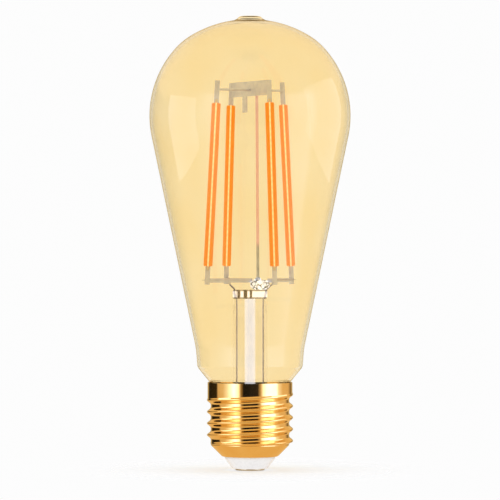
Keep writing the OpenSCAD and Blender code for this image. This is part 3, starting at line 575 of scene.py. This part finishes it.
def insulator():
    """White moulding under the shell: a stub cone with a rounded foot."""
    neck_r, foot_r, foot_z = LIP_R - 0.24, 5.5, INSULATOR_LOW.z
    top_r, top_z = INSULATOR_HIGH.x, INSULATOR_HIGH.z
    outline = [(0.5, foot_z + 1.7), (1.55, foot_z + 1.7), (1.55, foot_z)]
    outline += rounded((2, foot_z), (foot_r, foot_z), (neck_r, LIP_Z - 0.5), 0.8, 8)
    outline += [(neck_r, LIP_Z - 0.5), (neck_r, LIP_Z + 0.54), (LIP_R + 1, LIP_Z + 0.95)]
    outline += rounded((LIP_R + 1, LIP_Z + 0.95), (top_r, top_z - 0.4), (top_r, top_z), 0.2, 3)
    outline += rounded((top_r, top_z - 0.4), (top_r, top_z), (top_r - 3, top_z), 0.15, 3)
    outline += [(top_r - 3, top_z), (3, LIP_Z + 1.54), (0.5, LIP_Z + 1.54)]
    return settle(lathe(outline, 128, closed=True), "white_insulator", moulded_insulator(),
                  ["cap_insulator"])


def contact():
    """Tinned brass button with a low solder dome, and its hollow rivet above."""
    r, top = CONTACT_HIGH.x, CONTACT_HIGH.z
    flat = 0.5
    outline = [(0, 0), (1.4, 0.0)]
    outline += rounded((1.4, 0.0), (2, 0.16), (r - 0.6, 0.1), 0.4, 4)
    outline += rounded((2, 0.1), (r, 0.1), (r, flat), 0.25, 6)
    outline += [(r, flat), (1.5, flat), (1.5, top), (0.42, top), (0.42, 0.4), (0, 0.4)]
    metal = brushed_metal("tinned_brass", "#cfcabd", "#b9b2a2", 0.25, 0.45, 0.3, (1, 1, 1))
    return settle(lathe(outline, 96), "tinned_contact", metal,
                  ["centre_contact"])


def press_oval(bm, low, high):
    """Squeezes round sections into a flat-sided oval between two heights."""
    for v in bm.verts:
        share = min(max((v.co.z / MM - low) / (high - low), 0), 1)
        share = share * share * (3 - 2 * share)
        size = v.co.xy.length / (STEM_R * MM)
        if not share or not size:
            continue
        turn = math.atan2(v.co.y, v.co.x)
        power = 1 - 0.32 * share
        wide = STEM_R + (PRESS_HALF_W - STEM_R) * share
        thick = STEM_R + (PRESS_HALF_T - STEM_R) * share
        c, s = math.cos(turn), math.sin(turn)
        v.co.x = size * wide * MM * math.copysign(abs(c) ** power, c)
        v.co.y = size * thick * MM * math.copysign(abs(s) ** power, s)


def stem():
    """Flared stem tube, pressed flat at its top, and the block of pressed glass on it."""
    bell = STEM_HIGH.x - STEM_R
    bell_z = STEM_LOW.z + bell
    outline = arc((STEM_R + bell, bell_z), bell, 270, 180, 14)
    outline += row(outline[-1], (STEM_R, PINCH_Z), 6)
    outline += row(outline[-1], (STEM_R, PRESS_FOOT_Z - 0.01), 20)
    bm = lathe(outline, 96)
    press_oval(bm, PINCH_Z, PRESS_FOOT_Z)
    bmesh.ops.solidify(bm, geom=bm.faces, thickness=STEM_WALL * MM)
    settle(bm, "flared_stem", stem_glass(), ["stem_flare"])

    foot, top, r = PRESS_FOOT_Z, PRESS_TOP_Z, STEM_R
    block = [(0, foot)]
    block += rounded((r / 2, foot), (r, foot), (r, top), 0.35, 4)
    block += row(block[-1], (r, top - 0.7), 4)
    block += rounded((r, foot), (r, top), (r / 2, top), 0.6, 6) + [(0, top)]
    bm = lathe(block, 96)
    press_oval(bm, PINCH_Z - 2, PINCH_Z - 1)
    settle(bm, "pressed_stem_head", pressed_glass(), ["stem_press"])

    tube_r, wall = TUBE_HIGH.x, 0.6
    low, high = TUBE_LOW.z, TUBE_HIGH.z
    tube = [(0, low)] + rounded((0, low), (tube_r * 0.45, low), (tube_r, low + 2.2), 0.6, 5)
    tube += rounded((tube_r * 0.45, low), (tube_r, low + 2.2), (tube_r, high), 1.5, 5)
    tube += row(tube[-1], (tube_r, high), 12)
    tube += [(tube_r - wall, high)] + row((tube_r - wall, high), (tube_r - wall, low + 2.6), 12)
    tube += [(0, low + 1.8)]
    settle(lathe(tube, 64), "exhaust_tube_drawn", opal_tube(), ["exhaust_tube"])


def bead():
    """Molten lumps run together on the press, round the feet of the supports."""
    bm = bmesh.new()
    for x, lift, radius in ((3.1, 1.25, 2.1), (1.5, 1.65, 1.5), (4.7, 1.55, 1.5), (2.5, 3, 1.05)):
        centre = Matrix.Translation(Vector((x, 0, PRESS_TOP_Z + lift)) * MM)
        bmesh.ops.create_icosphere(bm, subdivisions=4, radius=radius * MM, matrix=centre)
    mesh = bpy.data.meshes.new("molten_bead")
    bm.to_mesh(mesh)
    bm.free()
    lump = bpy.data.objects.new("molten_bead", mesh)
    bpy.context.scene.collection.objects.link(lump)
    remesh = lump.modifiers.new("run_together", "REMESH")
    remesh.mode = "VOXEL"
    remesh.voxel_size = 0.13 * MM
    smooth = lump.modifiers.new("flowed", "SMOOTH")
    smooth.iterations = 6
    flowed = bmesh.new()
    flowed.from_object(lump, bpy.context.evaluated_depsgraph_get())
    bpy.data.objects.remove(lump)
    floor = (0, 0, (PRESS_TOP_Z + 0.02) * MM)
    cut = bmesh.ops.bisect_plane(flowed, geom=flowed.verts[:] + flowed.edges[:] + flowed.faces[:],
                                 plane_co=floor, plane_no=(0, 0, 1), clear_inner=True)
    rim = [e for e in cut["geom_cut"] if isinstance(e, bmesh.types.BMEdge)]
    bmesh.ops.holes_fill(flowed, edges=rim)
    return settle(flowed, "stem_bead_molten", bead_glass(), ["stem_bead"], 60)


def bead_glass():
    """Glass melted into a bead: rippled, with a painted bluish white glow, and painted shade
    in its small folds.
    """
    material, tree, shader, place = begin("melted_bead_glass")
    folds = add(tree, "ShaderNodeTexVoronoi", {"Vector": place, "Scale": per(1.5)},
                feature="DISTANCE_TO_EDGE")
    # Painted shade: the colour turns dark in the creases between folds, except where the patch noise
    # lifts it.
    crease = add(tree, "ShaderNodeMapRange", {"Value": folds.outputs["Distance"], "From Min": 0.06,
                                              "From Max": 0.16}).outputs["Result"]
    patch = uneven(tree, place, 1.1, -0.9, 1.2)
    glowing_not_fold_shade = add(tree, "ShaderNodeMath", {0: crease, 1: patch}, operation="MAXIMUM",
                     use_clamp=True).outputs[0]
    skin = add(tree, "ShaderNodeMix", {0: glowing_not_fold_shade, 6: colour("#2a3129"),
                                       7: mottled(tree, place, 1.2, "#fdfbf6", "#f1ebe0")},
               data_type="RGBA")
    # Painted light: bluish white glow away from the folds, though the glass is no lamp.
    glow = add(tree, "ShaderNodeMix", {0: glowing_not_fold_shade, 6: (0, 0, 0, 1),
                                       7: mottled(tree, place, 0.8, "#c9d6ff", "#7f8cb4")},
               data_type="RGBA")
    fill(shader, tree, {
        "Base Color": skin.outputs[2], "Transmission Weight": 1.0, "IOR": 1.45,
        "Roughness": uneven(tree, place, 1, 0.0, 0.05), "Emission Color": glow.outputs[2],
        "Emission Strength": 0.85, "Normal": relief(tree, folds.outputs["Distance"], 0.2, 0.6)})
    return material


CHIP_PITCH = 50.8 / 28
FILAMENT_LEN, FILAMENT_R = 50.8, 1.4
FLASH_Z = 69


def filament_axis(number):
    """Azimuth, outward direction and middle of a filament, from its phosphor's box and number."""
    low, high = node_box(f"filament_{number}_phosphor")
    azimuth = math.radians(30 + 90 * (number - 1))
    out = Vector((math.cos(azimuth), math.sin(azimuth), 0))
    middle = (low + high) / 2
    return azimuth, out, middle


def filament(number, coat, strip, chips, posts):
    """One filament: a sleeve of phosphor round a strip with chips, and a terminal at each end."""
    azimuth, out, middle = filament_axis(number)
    half = FILAMENT_LEN / 2
    outline = [(0, -half)] + rounded((0, -half), (FILAMENT_R, -half), (FILAMENT_R, half), 0.35, 5)
    outline += row(outline[-1], (FILAMENT_R, half - 0.4), 56)
    outline += rounded((FILAMENT_R, -half), (FILAMENT_R, half), (0, half), 0.35, 5) + [(0, half)]
    bm = lathe(outline, 48)
    layer = bm.verts.layers.float_vector.new("place")
    facing = math.radians(90) if out.y > 0 else math.radians(-90)
    lean = math.asin((15 - 12.1) / FILAMENT_LEN)
    turn = (Matrix.Translation(middle * MM) @ Matrix.Rotation(azimuth, 4, "Z")
            @ Matrix.Rotation(-lean, 4, "Y") @ Matrix.Rotation(facing - azimuth, 4, "Z"))
    for v in bm.verts:
        v[layer] = v.co / MM
        wave = math.sin(v.co.z / MM * 0.9 + number) + 0.6 * math.sin(v.co.z / MM * 2.3 + 2 * number)
        v.co.xy *= 1 - 0.006 + 0.006 * wave
    bmesh.ops.transform(bm, matrix=turn, verts=bm.verts)
    settle(bm, f"filament_{number}_coating", coat, [f"filament_{number}_phosphor"])
    edged_copy(f"filament_{number}_terminals", f"filament_{number}_posts", posts,
               0.07)
    paint(f"filament_{number}_strip", strip)
    paint(f"filament_{number}_chips", chips)


def paint(node, material):
    """Gives a CAD node its finish."""
    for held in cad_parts[node].material_slots:
        held.material = material


def supports():
    """Plate, bar, arms and wires that hold the filaments."""
    strip = brushed_metal("nickel_iron_strip", "#e6e9fb", "#d6daf2", 0.35, 0.5)
    edged_copy("top_plate", "bevelled_top_plate", strip, 0.08)
    edged_copy("top_crossbar", "rounded_crossbar", strip, 0.1)
    edged_copy("lower_arms_left", "bevelled_arms_left", strip, 0.08)
    edged_copy("lower_arms_right", "bevelled_arms_right", strip, 0.08)
    edged_copy("support_wire", "flashed_support_wire", flashed_support_wire(), 0.1)
    lead = brushed_metal("borated_lead_wire", "#dddbe8", "#c4c0cf", 0.35, 0.55, 0.2)
    for side in ("left", "right"):
        piece = edged_copy(f"lead_in_wire_{side}", f"drawn_lead_in_{side}", lead, 0)
        round_off = piece.modifiers.new("drawn_round", "SUBSURF")
        round_off.levels = round_off.render_levels = 1
    return strip


def cap_inside():
    """Cement, wires and the driver, which the cap hides."""
    paint("cap_cement", dull_solid("baked_lamp_cement", "#d9d1c2", "#c4baa8", 1.2, (0.8, 0.95),
                                   0.08, 0.35))
    edged_copy("live_wire", "live_wire_sleeved", wire_insulation("red_silicone", "#a8321e", "#8f2a1a"),
               0.05)
    edged_copy("neutral_wire", "neutral_wire_sleeved",
               wire_insulation("blue_silicone", "#2f5f92", "#27507d"), 0)
    paint("driver_sleeve", dull_solid("milky_polyester_film", "#e2ddd2", "#d4cfc4", 3, (0.3, 0.45)))
    edged_copy("driver_board", "driver_board_routed",
               solder_mask("green_solder_mask", "#1f6b3c", "#195a32", "#3d9457"), 0.05)
    edged_copy("radio_board", "radio_board_routed",
               solder_mask("blue_solder_mask", "#1b2f57", "#15264a", "#3a5590"), 0.05)
    epoxy = dull_solid("moulded_black_epoxy", "#2b2b2d", "#222224", 0.8, (0.45, 0.6), 0.02, 0.12)
    for node in ("bridge_rectifier", "driver_chip", "radio_chip"):
        edged_copy(node, f"{node}_moulded", epoxy, 0.06)
    edged_copy("chip_resistors", "chip_resistors_glazed",
               dull_solid("glazed_resistor", "#26262b", "#35353c", 0.4, (0.2, 0.35)),
               0.05)
    edged_copy("ceramic_capacitors", "ceramic_capacitors_fired",
               dull_solid("fired_tan_ceramic", "#c79f6d", "#b48a58", 0.5, (0.35, 0.5)),
               0.06)
    low, high = node_box("fusible_resistor")
    edged_copy("fusible_resistor", "fusible_resistor_lacquered",
               banded("green_flameproof_lacquer", ("#5d9a72", "#4f8763"), ("#c9c9c6", "#b5b5b1"), "Y",
                      (low.y + 1.05, high.y - 1.05)), 0.12)
    edged_copy("electrolytic_capacitor", "electrolytic_can",
               brushed_metal("drawn_aluminium", "#d5d7da", "#c3c6ca", 0.25, 0.4, 0.3, (1, 1, 1)),
               0.06)
    paint("capacitor_jacket", dull_solid("shrunk_blue_film", "#1d2a4d", "#17223f", 2, (0.25, 0.4)))
    edged_copy("inductor_core", "ferrite_drum",
               dull_solid("sintered_ferrite", "#47474a", "#3a3a3d", 0.6, (0.5, 0.7), 0.03, 0.2),
               0.08)
    winding()
    edged_copy("radio_shield", "radio_shield_can",
               brushed_metal("tinned_steel", "#cdcfd0", "#bfc1c3", 0.25, 0.4, 0.4, (0.1, 1, 1)),
               0.06)
    gold = brushed_metal("gold_flashed_copper", "#e3b257", "#d49f43", 0.25, 0.4, 0.2, (1, 1, 1))
    edged_copy("radio_antenna", "printed_antenna", gold, 0.02)
    edged_copy("radio_pins", "radio_pin_row", gold, 0.05)


def winding():
    """Enamelled copper wound on the drum in even turns."""
    low, high = node_box("inductor_winding")
    centre, outer = (low + high) / 2, (high.x - low.x) / 2
    turns, inner = 11, outer - 0.9
    pitch = (high.z - low.z) / turns
    outline = [(inner, low.z)]
    for i in range(turns):
        middle = low.z + (i + 0.5) * pitch
        outline += arc((outer - pitch / 2, middle), pitch / 2, -80, 80, 6)
    outline.append((inner, high.z))
    bm = lathe(outline, 64, closed=True)
    bmesh.ops.translate(bm, verts=bm.verts, vec=(centre.x * MM, centre.y * MM, 0))
    enamel = brushed_metal("enamelled_copper", "#c9712f", "#b05d24", 0.2, 0.35, 0.3, (1, 1, 1))
    settle(bm, "copper_winding_turns", enamel, ["inductor_winding"], 50)


# ---------------------------------------------------------------- studio

BACKDROP = 0.98
THROUGH_GLASS = 1.0
CAMERA_DISTANCE = 1.05
PICTURE_HEIGHT = 156.7
VIEW_CENTRE_Z = 68.95

# Panels and dark flags round the lamp: degrees from the camera, to the right, with the colour
# and brightness that a level mirror sees there
STUDIO = (
    (-180, "#e0c690", 0.85), (-158, "#dcc08a", 0.8), (-146, "#3a3020", 0.4),
    (-103, "#4a3b20", 0.5), (-97, "#e6c08a", 0.9), (-78, "#eccb98", 1.0), (-66, "#f6e8d0", 1.2),
    (-56, "#fffcf4", 1.6), (-44, "#f4f8ff", 2.5), (-34, "#fff8ec", 2.0), (-25, "#b8935c", 0.8),
    (-18, "#2c2722", 0.5), (-8, "#262320", 0.8), (8, "#2a2522", 1.0), (22, "#3c3126", 0.7),
    (30, "#f0c890", 0.8), (36, "#fffaf2", 1.5), (46, "#eaf2ff", 2.6), (76, "#eef4ff", 2.5),
    (84, "#f8ead2", 1.2), (100, "#ecc48a", 1.0), (126, "#ecc48a", 0.95), (144, "#a08050", 0.5),
    (158, "#dcc08a", 0.8), (180, "#e0c690", 0.85))


def studio():
    """Soft light all round. Mirrors see panels and dark flags, and all else sees even white."""
    world = bpy.data.worlds.new("soft_studio")
    bpy.context.scene.world = world
    world.use_nodes = True
    tree = world.node_tree
    tree.nodes.clear()
    way = add(tree, "ShaderNodeTexCoord").outputs["Generated"]
    split = add(tree, "ShaderNodeSeparateXYZ", {"Vector": way})
    ahead = add(tree, "ShaderNodeMath", {0: split.outputs["Y"], 1: -1.0}, operation="MULTIPLY")
    turn = add(tree, "ShaderNodeMath", {0: split.outputs["X"], 1: ahead.outputs[0]},
               operation="ARCTAN2")
    share = add(tree, "ShaderNodeMapRange", {"Value": turn.outputs[0], "From Min": -math.pi,
                                             "From Max": math.pi})
    ramp = add(tree, "ShaderNodeValToRGB", {"Fac": share.outputs["Result"]})
    stops = ramp.color_ramp.elements
    while len(stops) > 1:
        stops.remove(stops[0])
    for i, (angle, tone, level) in enumerate(STUDIO):
        at = angle / 360 + 0.5
        stop = stops[0] if i == 0 else stops.new(at)
        stop.position = at
        stop.color = [c * level / 3 for c in colour(tone)[:3]] + [1]
    height = add(tree, "ShaderNodeMath", {0: split.outputs["Z"]}, operation="ABSOLUTE")
    above = add(tree, "ShaderNodeMapRange", {"Value": height.outputs[0], "From Min": 0.3,
                                             "From Max": 0.42}, interpolation_type="SMOOTHSTEP")
    level = add(tree, "ShaderNodeMapRange", {"Value": height.outputs[0], "From Min": 0.17,
                                             "From Max": 0.26}, interpolation_type="SMOOTHSTEP")
    floored = add(tree, "ShaderNodeMix", {0: level.outputs["Result"], 6: ramp.outputs["Color"],
                                          7: (0.29, 0.19, 0.08, 1)}, data_type="RGBA",
                  blend_type="LIGHTEN").outputs[2]
    dome = add(tree, "ShaderNodeMix", {0: above.outputs["Result"], 6: floored,
                                       7: (0.28, 0.175, 0.066, 1)}, data_type="RGBA").outputs[2]
    paths = add(tree, "ShaderNodeLightPath")
    glossy = add(tree, "ShaderNodeMath", {0: paths.outputs["Glossy Depth"], 1: 0.5},
                 operation="GREATER_THAN")
    plain = add(tree, "ShaderNodeMath", {0: paths.outputs["Diffuse Depth"], 1: 0.5},
                operation="LESS_THAN")
    outside = add(tree, "ShaderNodeMath", {0: paths.outputs["Transmission Depth"], 1: 0.5},
                  operation="LESS_THAN")
    direct = add(tree, "ShaderNodeMath", {0: glossy.outputs[0], 1: plain.outputs[0]},
                 operation="MULTIPLY")
    mirrored = add(tree, "ShaderNodeMath", {0: direct.outputs[0], 1: outside.outputs[0]},
                   operation="MULTIPLY")
    panels = add(tree, "ShaderNodeBackground", {"Color": dome, "Strength": 3.0})
    even = add(tree, "ShaderNodeBackground", {"Color": (1, 1, 1, 1), "Strength": THROUGH_GLASS})
    seen = add(tree, "ShaderNodeBackground", {"Color": (1, 1, 1, 1), "Strength": BACKDROP})
    inside = add(tree, "ShaderNodeMixShader", {0: mirrored.outputs[0], 1: even.outputs[0],
                                               2: panels.outputs[0]})
    whole = add(tree, "ShaderNodeMixShader", {0: paths.outputs["Is Camera Ray"],
                                              1: inside.outputs[0], 2: seen.outputs[0]})
    add(tree, "ShaderNodeOutputWorld", {"Surface": whole.outputs[0]})


def floor():
    """Pale, slightly glossy floor that fades out a little way from the lamp."""
    bm = bmesh.new()
    bmesh.ops.create_circle(bm, cap_ends=True, segments=96, radius=0.3,
                            matrix=Matrix.Translation((0, 0, -0.02 * MM)))
    mesh = bpy.data.meshes.new("pale_floor")
    bm.to_mesh(mesh)
    bm.free()
    disc = bpy.data.objects.new("pale_floor", mesh)
    bpy.context.scene.collection.objects.link(disc)
    material = bpy.data.materials.new("pale_gloss_floor")
    material.use_nodes = True
    tree = material.node_tree
    tree.nodes.clear()
    place = add(tree, "ShaderNodeTexCoord").outputs["Object"]
    far = add(tree, "ShaderNodeVectorMath", {0: place}, operation="LENGTH")
    fade = add(tree, "ShaderNodeMapRange", {"Value": far.outputs["Value"], "From Min": 0.012,
                                            "From Max": 0.06}, interpolation_type="SMOOTHSTEP")
    below = add(tree, "ShaderNodeNewGeometry").outputs["Backfacing"]
    hidden = add(tree, "ShaderNodeMath", {0: fade.outputs["Result"], 1: below}, operation="MAXIMUM")
    seen = add(tree, "ShaderNodeLightPath").outputs["Is Camera Ray"]
    unseen = add(tree, "ShaderNodeMath", {0: 1.0, 1: seen}, operation="SUBTRACT")
    clear = add(tree, "ShaderNodeMath", {0: hidden.outputs[0], 1: unseen.outputs[0]},
                operation="MAXIMUM")
    paint_coat = add(tree, "ShaderNodeBsdfPrincipled", {
        "Base Color": mottled(tree, place, 40, "#fcfcfc", "#fafafa"), "Roughness": 0.35,
        "Specular IOR Level": 0.0})
    gap = add(tree, "ShaderNodeBsdfTransparent")
    mixed = add(tree, "ShaderNodeMixShader", {0: clear.outputs[0], 1: paint_coat.outputs[0],
                                              2: gap.outputs[0]})
    add(tree, "ShaderNodeOutputMaterial", {"Surface": mixed.outputs[0]})
    mesh.materials.append(material)


def softbox(name, azimuth, distance, low, high, width, glow):
    """Panel seen only in reflections and by the light it gives. Azimuth is to the camera's right,
    low and high are the heights of its edges, and glow is its brightness."""
    lamp = bpy.data.lights.new(name, "AREA")
    lamp.shape = "RECTANGLE"
    lamp.size, lamp.size_y = width * MM, (high - low) * MM
    lamp.color = colour("#e6efff")[:3]
    lamp.energy = glow * math.pi * lamp.size * lamp.size_y
    holder = bpy.data.objects.new(name, lamp)
    a = math.radians(azimuth)
    away = Vector((math.sin(a), -math.cos(a), 0))
    holder.location = (away * distance + Vector((0, 0, (low + high) / 2))) * MM
    holder.rotation_euler = away.to_track_quat("Z", "Y").to_euler()
    holder.visible_camera = holder.visible_transmission = False
    bpy.context.scene.collection.objects.link(holder)


def camera():
    """Level view from the front through a long lens."""
    data = bpy.data.cameras.new("front_camera")
    data.sensor_width = 36
    data.lens = 36 * CAMERA_DISTANCE / (PICTURE_HEIGHT * MM)
    holder = bpy.data.objects.new("front_camera", data)
    holder.location = (0, -CAMERA_DISTANCE, VIEW_CENTRE_Z * MM)
    holder.rotation_euler = (math.radians(90), 0, 0)
    bpy.context.scene.collection.objects.link(holder)
    bpy.context.scene.camera = holder


# ---------------------------------------------------------------- the lamp

camera()
studio()
floor()
softbox("left_softbox", -78, 140, 60, 150, 100, 1.7)
softbox("right_softbox", 90, 140, 66, 180, 150, 1.0)
glass_envelope()
cap_shell()
insulator()
contact()
stem()
bead()
posts = supports()
coat, strip, chips = phosphor(), alumina(), lit_chip()
for number in (1, 2, 3, 4):
    filament(number, coat, strip, chips, posts)
cap_inside()

bpy.context.scene.view_settings.view_transform = "Standard"
bpy.context.view_layer.update()
